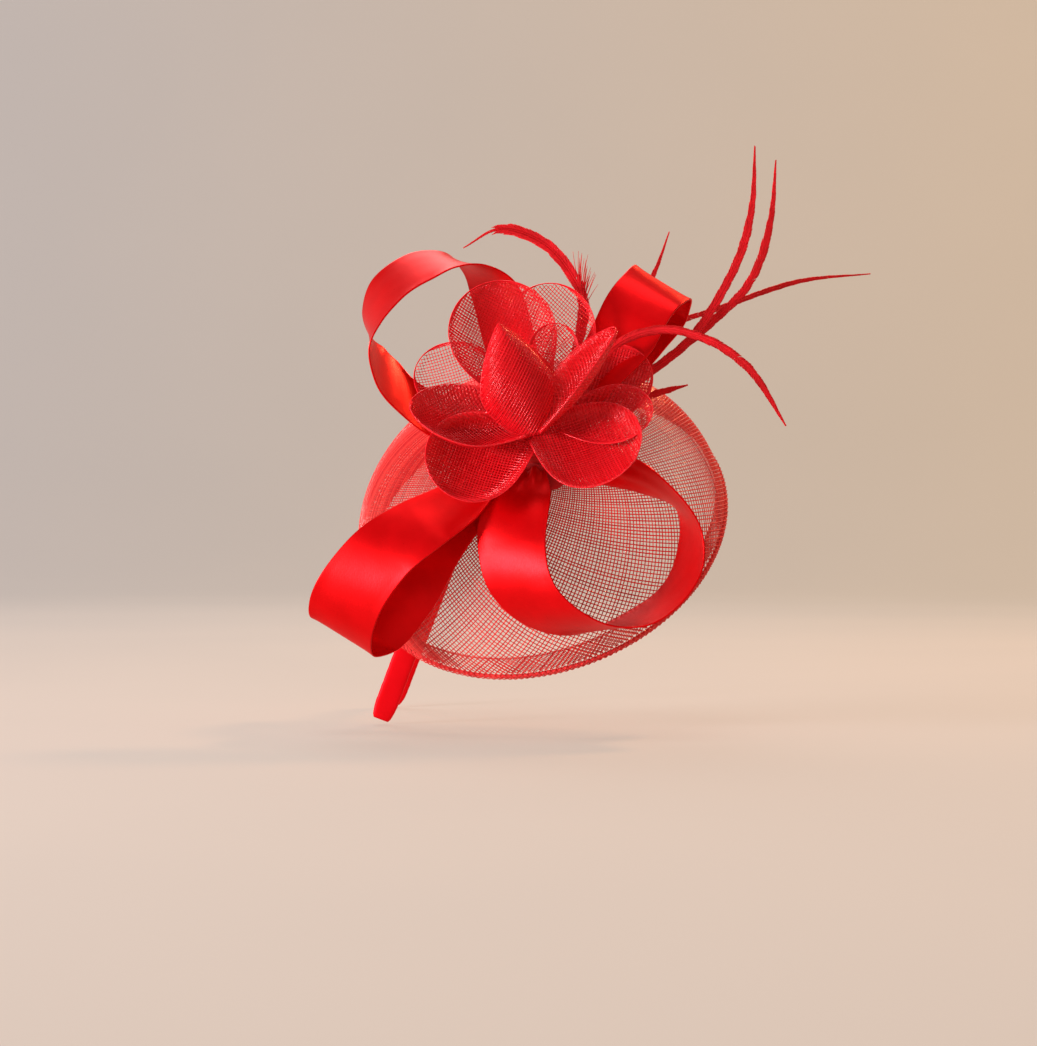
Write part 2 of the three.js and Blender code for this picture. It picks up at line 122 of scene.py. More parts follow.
# ------------------------------------------------------------------ meshes
class Shape:
    """Vertices in millimetres, faces and tones, gathered until they become one Blender object. On the petals
    the tones also hold painted shade and painted glints.
    """

    def __init__(self):
        self.points, self.faces, self.tones, self.count = [], [], [], 0

    def add(self, points, faces, tone=0.5):
        self.points.append(np.asarray(points, float).reshape(-1, 3))
        self.faces.extend([tuple(c + self.count for c in face) for face in faces])
        self.tones.append(np.full(len(self.points[-1]), tone))
        self.count += len(self.points[-1])

    def tube(self, line, normal, width, thickness=None, sides=4, tone=0.5):
        """A closed strand along a line. width lies along the surface and thickness along its normal."""
        line = np.asarray(line, float)
        n = len(line)
        ahead = unit(np.gradient(line, axis=0))
        side = unit(np.cross(ahead, np.broadcast_to(normal, line.shape)))
        up = np.cross(side, ahead)
        half_width = np.broadcast_to(np.asarray(width, float) / 2, n)[:, None]
        half_depth = half_width
        if thickness is not None:
            half_depth = np.broadcast_to(np.asarray(thickness, float) / 2, n)[:, None]
        rings = []
        for k in range(sides):
            angle = 2 * math.pi * k / sides
            rings.append(line + side * half_width * math.cos(angle) + up * half_depth * math.sin(angle))
        faces = []
        for i in range(n - 1):
            near, far = i * sides, (i + 1) * sides
            for k in range(sides):
                following = (k + 1) % sides
                faces.append((near + k, near + following, far + following, far + k))
        faces.append(tuple(reversed(range(sides))))
        faces.append(tuple((n - 1) * sides + k for k in range(sides)))
        self.add(np.stack(rings, axis=1), faces, tone)

    def sheet(self, grid, thickness):
        """A thin closed sheet about a grid of points: rows along, columns across."""
        rows, columns = grid.shape[:2]
        normal = unit(np.cross(np.gradient(grid, axis=1), np.gradient(grid, axis=0)))
        half = np.broadcast_to(np.asarray(thickness, float) / 2, (rows, columns))[..., None]
        front = (grid + normal * half).reshape(-1, 3)
        behind = (grid - normal * half).reshape(-1, 3)
        points = np.concatenate([front, behind])
        back = rows * columns
        faces = []
        for i in range(rows - 1):
            for j in range(columns - 1):
                a = i * columns + j
                faces.append((a, a + 1, a + columns + 1, a + columns))
                faces.append((back + a + columns, back + a + columns + 1, back + a + 1, back + a))
        edge = [(0, j) for j in range(columns - 1)] + [(i, columns - 1) for i in range(rows - 1)]
        edge += [(rows - 1, j) for j in range(columns - 1, 0, -1)] + [(i, 0) for i in range(rows - 1, 0, -1)]
        ring = [i * columns + j for i, j in edge]
        for a, b in zip(ring, ring[1:] + ring[:1]):
            faces.append((b, a, back + a, back + b))
        self.add(points, faces)

    def piece(self, name, material, body="headpiece", smooth=True):
        mesh = bpy.data.meshes.new(name)
        mesh.from_pydata((np.concatenate(self.points) * MM).tolist(), [], self.faces)
        mesh.polygons.foreach_set("use_smooth", [smooth] * len(mesh.polygons))
        # the tone attribute holds random strand tone, and on the petals painted shade and painted glints
        tone = mesh.attributes.new("tone", "FLOAT", "POINT")
        tone.data.foreach_set("value", np.concatenate(self.tones).astype(np.float32))
        mesh.materials.append(material)
        mesh.update()
        made = bpy.data.objects.new(name, mesh)
        bpy.context.scene.collection.objects.link(made)
        if body:
            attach(made, body)
        return made


# ------------------------------------------------------------------ materials
def new_material(name, **constants):
    made = bpy.data.materials.new(name)
    made.use_nodes = True
    shader = made.node_tree.nodes["Principled BSDF"]
    for socket, value in constants.items():
        shader.inputs[socket.replace("_", " ")].default_value = value
    return made, made.node_tree, shader


def noise(tree, scale, detail=2.0, stretch=(1, 1, 1)):
    where = tree.nodes.new("ShaderNodeTexCoord")
    mapping = tree.nodes.new("ShaderNodeMapping")
    mapping.inputs["Scale"].default_value = stretch
    pattern = tree.nodes.new("ShaderNodeTexNoise")
    pattern.inputs["Scale"].default_value = scale
    pattern.inputs["Detail"].default_value = detail
    tree.links.new(where.outputs["Object"], mapping.inputs["Vector"])
    tree.links.new(mapping.outputs["Vector"], pattern.inputs["Vector"])
    return pattern.outputs["Fac"]


def ramp(tree, value, low, high, start=0.3, end=0.7):
    made = tree.nodes.new("ShaderNodeValToRGB")
    made.color_ramp.elements[0].position = start
    made.color_ramp.elements[1].position = end
    made.color_ramp.elements[0].color = (*low, 1)
    made.color_ramp.elements[1].color = (*high, 1)
    tree.links.new(value, made.inputs["Fac"])
    return made.outputs["Color"]


def between(tree, value, low, high):
    made = tree.nodes.new("ShaderNodeMapRange")
    made.inputs["To Min"].default_value = low
    made.inputs["To Max"].default_value = high
    tree.links.new(value, made.inputs["Value"])
    return made.outputs["Result"]


def bump(tree, shader, height, distance_mm, strength=1.0):
    made = tree.nodes.new("ShaderNodeBump")
    made.inputs["Distance"].default_value = distance_mm * MM
    made.inputs["Strength"].default_value = strength
    tree.links.new(height, made.inputs["Height"])
    tree.links.new(made.outputs["Normal"], shader.inputs["Normal"])


def satin(name, dark, light, smooth=0.24, dull=0.38, grain=2600.0):
    """Polyester satin: fine floats of thread, a coloured shine and slow shifts of tone."""
    made, tree, shader = new_material(
        name, Metallic=0.50, Specular_IOR_Level=0.28, Specular_Tint=(1.0, 0.16, 0.17, 1), Coat_Weight=0.05,
        Coat_Roughness=0.40)
    tone = noise(tree, 60, 3)
    tree.links.new(ramp(tree, tone, dark, light), shader.inputs["Base Color"])
    threads = noise(tree, grain, 1.5, (1, 1, 0.25))
    tree.links.new(between(tree, threads, smooth, dull), shader.inputs["Roughness"])
    creases = noise(tree, 38, 2)
    both = tree.nodes.new("ShaderNodeMath")
    both.operation = "MULTIPLY_ADD"
    both.inputs[1].default_value = 12.0
    tree.links.new(creases, both.inputs[0])
    tree.links.new(threads, both.inputs[2])
    bump(tree, shader, both.outputs["Value"], 0.06, 0.5)
    return made


def nylon(name, dark, light, roughness, gloss, tint):
    """Glossy nylon monofilament, as crin net is woven from. Each strand has its own tone; on the petals the
    tones also paint shade on the lining and glints on the warp strands.
    """
    made, tree, shader = new_material(name, Specular_IOR_Level=gloss, Specular_Tint=(*tint, 1))
    tone = tree.nodes.new("ShaderNodeAttribute")
    tone.attribute_name = "tone"
    tree.links.new(ramp(tree, tone.outputs["Fac"], dark, light, 0, 1), shader.inputs["Base Color"])
    shine = between(tree, noise(tree, 900, 1), roughness * 0.7, roughness * 1.5)
    tree.links.new(shine, shader.inputs["Roughness"])
    return made


def plumage(name, dark, light):
    made, tree, shader = new_material(
        name, Specular_IOR_Level=0.2, Sheen_Weight=0.08, Sheen_Roughness=0.45, Sheen_Tint=(1, 0.2, 0.18, 1))
    tree.links.new(ramp(tree, noise(tree, 160, 4), dark, light), shader.inputs["Base Color"])
    tree.links.new(between(tree, noise(tree, 500, 2), 0.5, 0.75), shader.inputs["Roughness"])
    return made


def fibrous(name, dark, light, grain, depth_mm):
    """Felt or wound thread: matt, with fibres that catch the light."""
    made, tree, shader = new_material(
        name, Specular_IOR_Level=0.2, Sheen_Weight=0.5, Sheen_Roughness=0.6, Sheen_Tint=(1, 0.35, 0.3, 1))
    fibres = noise(tree, grain, 5)
    tree.links.new(ramp(tree, fibres, dark, light), shader.inputs["Base Color"])
    tree.links.new(between(tree, fibres, 0.8, 0.98), shader.inputs["Roughness"])
    bump(tree, shader, fibres, depth_mm, 0.8)
    return made


RIBBON_SATIN = satin("ribbon_satin", (0.62, 0.0005, 0.0016), (0.74, 0.0010, 0.0032))
BAND_SATIN = satin("band_satin", (0.78, 0.0012, 0.005), (0.90, 0.0025, 0.009), 0.34, 0.50)
CAP_NET = nylon("cap_net", (0.66, 0.014, 0.020), (0.96, 0.070, 0.060), 0.18, 0.9, (1.0, 0.55, 0.50))
# painted shade and painted glints: the petal crin's dark end colours the lining strands and its light end the
# warp strands
PETAL_CRIN = nylon("petal_crin", (0.68, 0.0008, 0.004), (1.00, 0.018, 0.032), 0.20, 0.8, (1.0, 0.36, 0.38))
RIM_THREAD = fibrous("rim_wire", (0.60, 0.012, 0.018), (0.78, 0.03, 0.035), 900, 0.15)
FEATHER = plumage("feather", (0.54, 0.0018, 0.006), (0.72, 0.0040, 0.011))
FELT = fibrous("felt", (0.46, 0.006, 0.012), (0.64, 0.016, 0.022), 420, 0.4)
THREAD = fibrous("thread", (0.50, 0.002, 0.006), (0.70, 0.006, 0.012), 700, 0.2)


def core_plastic():
    made, tree, shader = new_material("band_core", Specular_IOR_Level=0.5)
    tone = noise(tree, 300, 3)
    tree.links.new(ramp(tree, tone, (0.62, 0.58, 0.52), (0.74, 0.71, 0.65)), shader.inputs["Base Color"])
    tree.links.new(between(tree, tone, 0.35, 0.5), shader.inputs["Roughness"])
    return made


CORE = core_plastic()

# ------------------------------------------------------------------ cap
CAP_X = unit(np.array([1.0, 0, 0]) - CAP_AXIS * CAP_AXIS[0])
CAP_Z = np.cross(CAP_X, CAP_AXIS)
NET_STRANDS = 212               # in each of the two directions
STRAND_WIDTH = 0.50
BIAS = math.radians(45)         # the strands' angle to the way down the dome
GATHERED_BIAS = math.radians(16)
FULL_BIAS_RADIUS = 48.0         # outside this the strands run at the full bias
STRAND_LIFT = 0.13              # each direction's strands lie this far off the net's middle
STRAND_WANDER = 0.05            # as a share of the spacing
HEM_TURN = 0.004                # turns the hem's strands off the cap's
HEM_INSET = 1.2                 # how far in the hem leans at its edge
WIRE_STEPS = 720
WRAPPED_WIDTH = 1.7
NET_EDGE_RADIUS = 7.0           # where the net is gathered, under the felt
WIRE_CENTRE = (RIM_RADIUS - NET_THICKNESS / 2, -WIRE_RADIUS - WIRE_GAP)


def on_cap(radius, height, turn):
    """A point at a radius and height in the cap's own frame, turned about its axis."""
    radius, height, turn = (np.asarray(x, float)[..., None] for x in (radius, height, turn))
    return CAP_CENTRE + CAP_X * radius * np.sin(turn) + CAP_Z * radius * np.cos(turn) + CAP_AXIS * height


def dome_height(radius, offset=0.0):
    share = np.clip(np.asarray(radius, float) / (RIM_RADIUS + offset), 0, 1)
    return (CAP_DEPTH + offset) * (1 - share ** ROUNDNESS) ** (1 / ROUNDNESS)


def dome_profile(offset=0.0, steps=30):
    """Radius and height from the gathered middle down to the rim."""
    first = math.acos((NET_EDGE_RADIUS / RIM_RADIUS) ** (ROUNDNESS / 2))
    angle = np.linspace(first, 0.0, 400)
    radius = (RIM_RADIUS + offset) * np.cos(angle) ** (2 / ROUNDNESS)
    height = (CAP_DEPTH + offset) * np.sin(angle) ** (2 / ROUNDNESS)
    return resample(np.stack([radius, height], axis=1), steps)


def wire_wrap(radius, steps=6):
    """The net's way round the underside of the rim wire."""
    angle = np.linspace(0, -math.pi, steps)
    across, up = WIRE_CENTRE
    return np.stack([across + radius * np.cos(angle), up + radius * np.sin(angle)], axis=1)


def add_net(shape, profile, turn_at_end=0.0):
    """Crossed strands that run along a profile at the net's bias."""
    radius, height = profile[:, 0], profile[:, 1]
    step = np.concatenate([[0], np.linalg.norm(np.diff(profile, axis=0), axis=1)])
    bias = GATHERED_BIAS + (BIAS - GATHERED_BIAS) * smooth_step(radius / FULL_BIAS_RADIUS)
    turned = np.cumsum(step * np.tan(bias) / np.maximum(radius, 1.0))
    turned = turned - turned[-1] + turn_at_end
    slope = unit(np.gradient(profile, axis=0))
    outward = np.stack([-slope[:, 1], slope[:, 0]], axis=1)
    spacing = 2 * math.pi / NET_STRANDS
    for direction in (-1, 1):
        lift = STRAND_LIFT * direction
        for k in range(NET_STRANDS):
            wander = draw.normal(0, STRAND_WANDER) * spacing
            turn = k * spacing + wander + direction * turned
            r = radius + outward[:, 0] * lift
            y = height + outward[:, 1] * lift
            line = on_cap(r, y, turn)
            normal = on_cap(r + outward[:, 0], y + outward[:, 1], turn) - line
            shape.tube(line, normal, STRAND_WIDTH * draw.uniform(0.85, 1.15), tone=draw.uniform(0, 1))


def make_cap():
    net = Shape()
    profile = np.vstack([dome_profile(-NET_THICKNESS / 2, 30), wire_wrap(WIRE_RADIUS + 0.2)])
    add_net(net, profile)
    cap_net = net.piece("cap_net", CAP_NET)
    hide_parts("crown_net")

    hem = Shape()
    hem_outside = RIM_RADIUS - NET_THICKNESS - WIRE_GAP
    inner = np.array([[hem_outside - 0.5, -0.6], [hem_outside - 0.7, 2.5], [hem_outside - 1.0, 6.0],
                      [hem_outside - HEM_INSET, HEM_DEPTH]])
    add_net(hem, inner, HEM_TURN)
    edge_turn = np.linspace(0, 2 * math.pi, 241)
    for below_edge in (0.2, 0.9):
        line = on_cap(hem_outside - HEM_INSET, HEM_DEPTH - below_edge, edge_turn)
        hem.tube(line, CAP_AXIS, 0.42)
    rim_hem = hem.piece("rim_hem_net", CAP_NET)
    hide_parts("rim_hem")

    wire = Shape()
    turn = np.linspace(0, 2 * math.pi, WIRE_STEPS + 1)
    wrapped = 1 + 0.10 * (np.arange(WIRE_STEPS + 1) % 3 == 0)
    wire.tube(on_cap(*WIRE_CENTRE, turn), CAP_AXIS, WRAPPED_WIDTH * wrapped, sides=10)
    rim_wire = wire.piece("rim_wire_wrapped", RIM_THREAD)
    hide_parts("rim_wire")


def felt_disc(name, node, radius, low, high):
    """A felt disc that lies on the dome around the trim, between two offsets from it."""
    local = TRIM_BASE - CAP_CENTRE
    middle = np.array([local @ CAP_X, local @ CAP_Z])
    rings, sides = 14, 72
    reach = np.concatenate([np.linspace(0, 1, rings), [1.012, 1.0], np.linspace(1, 0, rings)])
    share = np.concatenate([np.ones(rings), [0.5, 0.0], np.zeros(rings)])
    fray = 1 + 0.006 * draw.standard_normal(sides)
    grid = []
    for k in range(sides):
        turn = 2 * math.pi * k / sides
        flat = middle + radius * fray[k] * reach[:, None] * np.array([math.cos(turn), math.sin(turn)])
        r = np.linalg.norm(flat, axis=1)
        offset = low + (high - low) * share
        height = np.array([dome_height(a, b) for a, b in zip(r, offset)])
        across = np.outer(flat[:, 0], CAP_X) + np.outer(flat[:, 1], CAP_Z)
        grid.append(CAP_CENTRE + across + np.outer(height, CAP_AXIS))
    grid = np.array(grid)
    shape = Shape()
    n = len(reach)
    points = [grid[0, 0], grid[0, -1], *grid[:, 1:-1].reshape(-1, 3)]

    def at(k, i):
        return 2 + (k % sides) * (n - 2) + (i - 1)

    faces = []
    for k in range(sides):
        faces.append((0, at(k, 1), at(k + 1, 1)))
        faces.append((1, at(k + 1, n - 2), at(k, n - 2)))
        for i in range(1, n - 2):
            faces.append((at(k, i), at(k, i + 1), at(k + 1, i + 1), at(k + 1, i)))
    shape.add(points, faces)
    made = shape.piece(name, FELT)
    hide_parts(node)


# ------------------------------------------------------------------ band
def arch_line(count):
    """Distance from the middle plane and height of the band's underside, from its right tip to its left."""
    right = [(0, -y, h) for y, h in reversed(ARCH_SIDE)]
    left = [(0, y, h) for y, h in ARCH_SIDE]
    points = right + [(0, 0, 0)] + left
    dense = smooth_curve(points, np.linspace(0, 1, 2001))
    return resample(dense, count)


BAND_POINTS = 301
RIGHT_HINGE, LEFT_HINGE = 5 / 60, 36 / 60     # as shares of the band, from its right tip
BEND_REACH = 5                  # band points either side of a hinge
CORE_LIFT, CORE_TUCK = 0.8, 2   # the tuck is in band points
SEAM_OFFSET, SEAM_WIDTH, SEAM_DEPTH = 1.4, 1.6, 0.30
PUCKER = 0.22
ARCH = arch_line(BAND_POINTS)
BAND_ACROSS = np.array([math.cos(BAND_LEAN), 0, -math.sin(BAND_LEAN)])
BAND_UP = np.array([math.sin(BAND_LEAN), 0, math.cos(BAND_LEAN)])
BAND_SIDE = np.array([0.0, 1.0, 0.0])


def in_band(y, h):
    return np.multiply.outer(y, BAND_SIDE) + np.multiply.outer(h, BAND_UP)


def band_bar(shape, first, last, width, thickness, lift, roundness, pucker=0.0, end_round=(False, False)):
    """A bar along part of the arch with rounded edges; pucker makes the cover wrinkle a little."""
    line = ARCH[first:last + 1]
    ahead = unit(np.gradient(ARCH, axis=0))[first:last + 1]
    outward = np.stack([np.zeros(len(line)), -ahead[:, 2], ahead[:, 1]], axis=1)
    sides = 28
    angle = 2 * math.pi * np.arange(sides) / sides
    c, s = np.cos(angle), np.sin(angle)
    across = np.sign(c) * np.abs(c) ** (2 / roundness)
    up = np.sign(s) * np.abs(s) ** (2 / (roundness * 0.7))
    scale = np.ones(len(line))
    steps = 7
    for at_end, on in zip((False, True), end_round):
        if on:
            near = np.arange(steps)
            size = np.sqrt(1 - (1 - (near + 0.35) / (steps + 0.35)) ** 2)
            where = slice(None, None, -1) if at_end else slice(None)
            scale[where][:steps] = np.minimum(scale[where][:steps], 0.55 + 0.45 * size)
    rings = []
    for i in range(len(line)):
        wrinkle = pucker * math.sin((first + i) * 1.7) * math.sin((first + i) * 0.53 + 1)
        half_width = (width / 2 + wrinkle * 0.4) * scale[i]
        half_depth = thickness / 2 * (0.75 + 0.25 * scale[i])
        centre = line[i] + outward[i] * (lift + thickness / 2)
        flat = in_band(centre[1], centre[2])
        out = in_band(outward[i][1], outward[i][2])
        ring = flat + np.outer(across * half_width, BAND_ACROSS) + np.outer(up * half_depth, out)
        rings.append(ring)
    n = len(rings)
    faces = []
    for i in range(n - 1):
        near, far = i * sides, (i + 1) * sides
        for k in range(sides):
            following = (k + 1) % sides
            faces.append((near + k, far + k, far + following, near + following))
    faces.append(tuple(range(sides)))
    faces.append(tuple(reversed([(n - 1) * sides + k for k in range(sides)])))
    shape.add(np.array(rings), faces)


def band_point(index):
    return tuple(in_band(ARCH[index][1], ARCH[index][2]) * MM)


def make_band():
    crown = BAND_POINTS // 2
    right_hinge = round(RIGHT_HINGE * (BAND_POINTS - 1))
    left_hinge = round(LEFT_HINGE * (BAND_POINTS - 1))
    right_bend = (right_hinge + BEND_REACH, right_hinge - BEND_REACH)
    left_bend = (left_hinge - BEND_REACH, left_hinge + BEND_REACH)
    halves = {
        "right": (0, crown, "right_tail", *right_bend, (True, False)),
        "left": (crown, BAND_POINTS - 1, "left_arm", *left_bend, (False, True)),
    }
    for side, (first, last, body, start, end, rounded) in halves.items():
        cover = Shape()
        band_bar(cover, first, last, SATIN_WIDTH, SATIN_THICKNESS, 0.0, 4.0, PUCKER, rounded)
        seam = Shape()
        line = ARCH[first:last + 1]
        under = in_band(line[:, 1], line[:, 2]) + SEAM_OFFSET * BAND_ACROSS
        ahead = np.gradient(under, axis=0)
        seam.tube(under, np.cross(ahead, BAND_ACROSS), SEAM_WIDTH, SEAM_DEPTH)
        cover.add(np.concatenate(seam.points), seam.faces)
        made = cover.piece(f"band_cover_{side}", BAND_SATIN, body=None)
        band_point(start)
        band_point(end)
        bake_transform(made)
        core = Shape()
        inner_first = first + (CORE_TUCK if side == "right" else 0)
        inner_last = last - (CORE_TUCK if side == "left" else 0)
        band_bar(core, inner_first, inner_last, CORE_WIDTH, CORE_THICKNESS, CORE_LIFT, 5.0)
        bar = core.piece(f"band_core_bar_{side}", CORE, body=None)
        band_point(start)
        band_point(end)
        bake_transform(bar)
        nodes = [f"band_satin_{side}"] + (["band_satin_middle"] if side == "left" else [])
        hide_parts(*nodes)
        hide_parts(*[n.replace("satin", "core") for n in nodes])


# ------------------------------------------------------------------ ribbon loops
W, G = 32, 15                   # the ribbon's width, and its width where it is gathered
RIBBON_THICKNESS = 0.45
# Each row is a point of the ribbon's middle line, the direction across it, and its width.
LOOPS = {
    "lower_right": [
        (14, -101, -34, 0.99, -0.05, 0.11, G), (10, -112, -46, 0.99, -0.05, 0.11, W - 4),
        (7, -121, -65, 0.89, -0.45, 0.07, W), (11, -125, -83, 0.82, -0.55, 0.15, W),
        (23, -126, -96, 0.64, -0.72, 0.25, W), (44, -123, -102, 0.53, -0.84, 0.13, W),
        (68, -119, -93, 0.21, -0.96, -0.17, W), (82, -114, -75, 0.29, -0.95, -0.09, W),
        (82, -111, -55, 0.20, -0.97, -0.14, W), (66, -114, -41, 0.30, -0.93, 0.19, W - 4),
        (49, -112, -34, 0.50, -0.70, 0.50, W - 8), (30, -104, -27, 0.50, -0.50, 0.70, G)],
    "lower_left": [
        (3, -101, -31, 0.54, -0.67, -0.50, G), (-15, -108, -48, 0.54, -0.67, -0.50, W - 4),
        (-32, -114, -58, 0.55, -0.61, -0.57, W), (-48, -115, -70, 0.75, -0.43, -0.50, W),
        (-60, -112, -85, 0.83, -0.33, -0.45, W), (-66, -105, -99, 0.84, -0.20, -0.50, W),
        (-65, -96, -106, 0.85, -0.05, -0.52, W), (-56, -90, -104, 0.86, -0.05, -0.50, W),
        (-42, -92, -88, 0.87, -0.10, -0.49, W), (-23, -104, -63, 0.74, -0.52, -0.42, W - 4),
        (2, -105, -40, 0.74, -0.52, -0.42, G)],
    "upper_left": [
        (4, -95, -20, 0.20, -0.56, -0.81, G), (-32, -86, -7, 0.20, -0.56, -0.81, W - 2),
        (-43, -85, 3, 0.02, -0.72, -0.69, W), (-50, -86, 11, -0.06, -0.84, -0.53, W),
        (-54, -87, 20, 0.02, -0.97, -0.26, W), (-54, -88, 32, 0.29, -0.92, -0.25, W),
        (-47, -89, 44, 0.41, -0.84, -0.37, W), (-33, -90, 54, 0.32, -0.84, -0.44, W),
        (-19, -88, 57, 0.22, -0.93, -0.29, W), (-9, -84, 54, 0.33, -0.94, -0.02, W),
        (-1, -80, 45, 0.64, -0.77, 0.06, W), (6, -78, 23, 0.82, -0.57, -0.04, W - 4),
        (11, -90, -14, 0.95, -0.30, -0.04, G)],
    "upper_right": [
        (29, -98, -17, 0.60, -0.70, -0.39, G), (40, -95, 2, 0.60, -0.70, -0.39, W - 6),
        (54, -94, 21, 0.81, -0.50, -0.31, W), (61, -92, 35, 0.82, -0.46, -0.34, W),
        (68, -88, 44, 0.78, -0.47, -0.43, W), (73, -80, 48, 0.75, -0.42, -0.51, W),
        (74, -72, 45, 0.69, -0.43, -0.59, W), (69, -67, 35, 0.78, -0.43, -0.45, W),
        (60, -68, 23, 0.74, -0.53, -0.42, W), (47, -76, 4, 0.63, -0.58, -0.51, W - 8),
        (31, -91, -14, 0.63, -0.58, -0.51, G)],
}
SELVEDGE = 0.9                  # width of the thicker woven edge
PLEAT_DEPTH = 1.6               # at the gathered ends
PLEAT_WAVES = 2.5               # half waves from the ribbon's middle to its edge
RIPPLE_DEPTH, RIPPLE_RATE = 0.25, 40


def ribbon_grid(rows, along=180, across=27):
    rows = np.array(rows, float)
    v = np.linspace(0, 1, along)
    middle = smooth_curve(rows[:, :3] + [0, 0, LIFT], v)
    side = unit(smooth_curve(rows[:, 3:6], v))
    width = smooth_curve(rows[:, 6:7], v)[:, 0]
    inner = np.linspace(-1, 1, across - 4)
    s = np.concatenate([[-1, -1 + SELVEDGE / W], inner[1:-1] * (1 - 3 * SELVEDGE / W), [1 - SELVEDGE / W, 1]])
    s = np.sort(s)
    grid = middle[:, None] + side[:, None] * (s[None, :, None] * width[:, None, None] / 2)
    normal = unit(np.cross(side, np.gradient(middle, axis=0)))
    gathered = np.clip((W - width) / (W - G), 0, 1) ** 2
    pleats = PLEAT_DEPTH * gathered[:, None] * np.cos(s[None] * PLEAT_WAVES * math.pi)
    near_edge = np.clip(np.abs(s) * 2 - 1, 0, 1)[None] ** 2
    ripple = RIPPLE_DEPTH * np.sin(v * RIPPLE_RATE)[:, None] * near_edge
    grid = grid + normal[:, None] * (pleats + ripple)[..., None]
    length = float(np.sum(np.linalg.norm(np.diff(middle, axis=0), axis=1)))
    thickness = np.where(np.abs(s) > 1 - 1.2 * SELVEDGE / W, RIBBON_THICKNESS * 1.5, RIBBON_THICKNESS)
    return grid, thickness, length


def make_ribbons():
    for name, rows in LOOPS.items():
        grid, thickness, length = ribbon_grid(rows)
        shape = Shape()
        shape.sheet(grid, thickness[None])
        made = shape.piece(f"ribbon_{name}", RIBBON_SATIN)
        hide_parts(f"ribbon_loop_{name}")


# ------------------------------------------------------------------ flower
# Each petal runs from base to tip. bow lifts its middle away from the facing side, cup lifts its
# edges towards it, and point is 0 for a round end and 1 for a pointed one. The last number is how
# many layers of crin it has.
PETALS = {
    "bud": ((17.5, -115, -20), (2, -119, 27), (-0.3, 0.8, 0.5), 34, 5, 7, 0.9, 3),
    "top_left": ((14, -106, -5), (-5, -99, 45), (0.1, -1, 0.1), 46, 7, 8, 0, 2),
    "top_right": ((24, -102, -4), (23, -91, 46), (-0.1, -1, 0.1), 40, 7, 7, 0, 1),
    "small_back": ((22, -108, -3), (27, -103, 28), (0, -1, 0.2), 22, 3, 3, 0, 1),
    "left_back": ((9, -104, -8), (-33, -93, 12), (0, -1, 0.3), 34, 4, 5, 0, 1),
    "left_front": ((13, -114, -18), (-36, -121, -9), (0.1, -0.8, 0.7), 36, 7, 8, 0.3, 3),
    "bottom_left": ((15, -112, -19), (-27, -124, -38), (0.1, -0.9, 0.3), 40, 6, 6, 0, 3),
    "bottom_right": ((18, -113, -18), (59, -131, -31), (0, -0.8, 0.5), 46, 6, 6, 0, 3),
    "right_lower": ((27, -109, -15), (67, -116, -10), (0, -0.8, 0.6), 32, 5, 5, 0, 2),
    "right_upper": ((27, -105, -8), (66, -101, 11), (0, -1, 0.2), 32, 5, 5, 0, 2),
    "diagonal": ((19, -116, -19), (52, -120, 24), (-0.5, -0.6, 0.5), 19, 3, 7, 0.35, 3),
}
CRIN_PITCH = 1.25
CRIN_WARP, CRIN_WEFT = 0.36, 0.28
LINING_WIDTH = 0.62             # strands of a three-layer petal's middle layer
LAYER_GAP = 0.8
EDGE_ROLL, ROLL_FROM = 2.0, 0.72
WIDEST, LEAF_WIDEST = 0.58, 0.42    # how far along a round and a pointed petal are widest
ROOT, LEAF_ROOT = 0.32, 0.35    # their width at the base, as a share of the widest
LEAF_TAPER = 1.4


class Petal:
    """A cupped, doubled piece of crin. s is -1 to 1 across it and v is 0 to 1 along it."""

    def __init__(self, base, tip, facing, width, bow, cup, point, layers):
        self.base = np.array(base, float) + [0, 0, LIFT]
        self.run = np.array(tip, float) + [0, 0, LIFT] - self.base
        self.length = np.linalg.norm(self.run)
        self.ahead = self.run / self.length
        face = np.array(facing, float)
        self.face = unit(face - self.ahead * (face @ self.ahead))
        self.side = np.cross(self.ahead, self.face)
        self.width, self.bow, self.cup, self.point_share = width, bow, cup, point
        self.layers = layers

    def half_width(self, v):
        v = np.asarray(v, float)
        root = ROOT + (1 - ROOT) * np.sin(np.clip(v / WIDEST, 0, 1) * math.pi / 2)
        end = np.sqrt(np.clip(1 - (np.clip(v - WIDEST, 0, 1) / (1 - WIDEST)) ** 2, 0, 1))
        leaf = LEAF_ROOT + (1 - LEAF_ROOT) * np.sin(np.clip(v / LEAF_WIDEST, 0, 1) * math.pi / 2)
        leaf = leaf * (1 - np.clip((v - LEAF_WIDEST) / (1 - LEAF_WIDEST), 0, 1) ** LEAF_TAPER)
        shape = (1 - self.point_share) * root * end + self.point_share * leaf
        return self.width / 2 * shape

    def at(self, s, v, layer=0.0):
        s, v = np.asarray(s, float), np.asarray(v, float)
        lift = self.cup * s ** 2 * np.sin(math.pi * (0.1 + 0.8 * v)) - self.bow * np.sin(math.pi * v)
        lift = lift + layer * (1 - s ** 2) * np.sin(math.pi * np.clip(0.08 + 0.9 * v, 0, 1))
        rolled = smooth_step((np.abs(s) - ROLL_FROM) / (1 - ROLL_FROM)) * np.sin(math.pi * np.clip(v, 0, 1))
        lift = lift + EDGE_ROLL * rolled
        return (self.base + self.run * v[..., None] + self.side * (s * self.half_width(v))[..., None]
                + self.face * lift[..., None])


def strand_runs(petal, direction, start):
    """Where one diagonal strand lies within the petal's outline, as across and along distances."""
    along = np.arange(0, petal.length + 0.01, 0.5)
    across = direction * (along - start)
    half = petal.half_width(along / petal.length)
    inside = np.abs(across) <= half
    edges = np.flatnonzero(np.diff(np.concatenate([[0], inside.astype(int), [0]])))
    for first, last in zip(edges[::2], edges[1::2]):
        if last - first >= 4:
            yield across[first:last], along[first:last], half[first:last]


